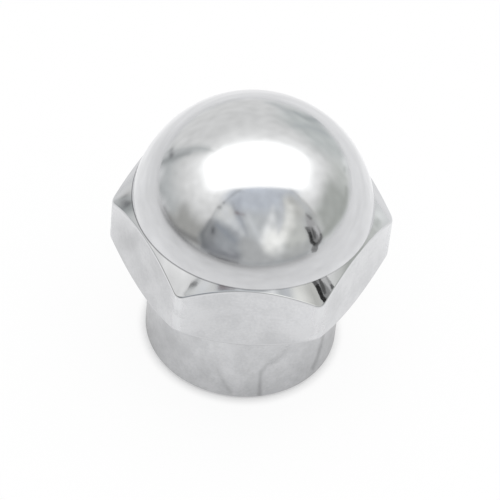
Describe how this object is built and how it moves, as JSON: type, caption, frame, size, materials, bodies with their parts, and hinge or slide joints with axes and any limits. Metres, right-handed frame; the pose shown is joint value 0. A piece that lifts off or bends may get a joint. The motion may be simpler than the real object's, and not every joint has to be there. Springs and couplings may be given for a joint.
{
  "type": "axle nut",
  "caption": "Chrome-plated hexagon axle nut with a polished dome closing one end, a round collar below the flats and a blind tapped hole.",
  "frame": {"origin": "centre of the seat face, the ring at the foot of the collar", "axes": "+Z along the nut's axis from the seat face to the top of the dome; two opposite corners of the hexagon lie on X and two opposite flats face -Y and +Y"},
  "size_m": [0.0216, 0.019, 0.0229],
  "materials": {
    "chrome_plate": "bright chrome plate, mirror on the dome, softer on the flats and collar"
  },
  "bodies": {
    "root": {"axle_nut": "chrome_plate"}
  },
  "joints": []
}
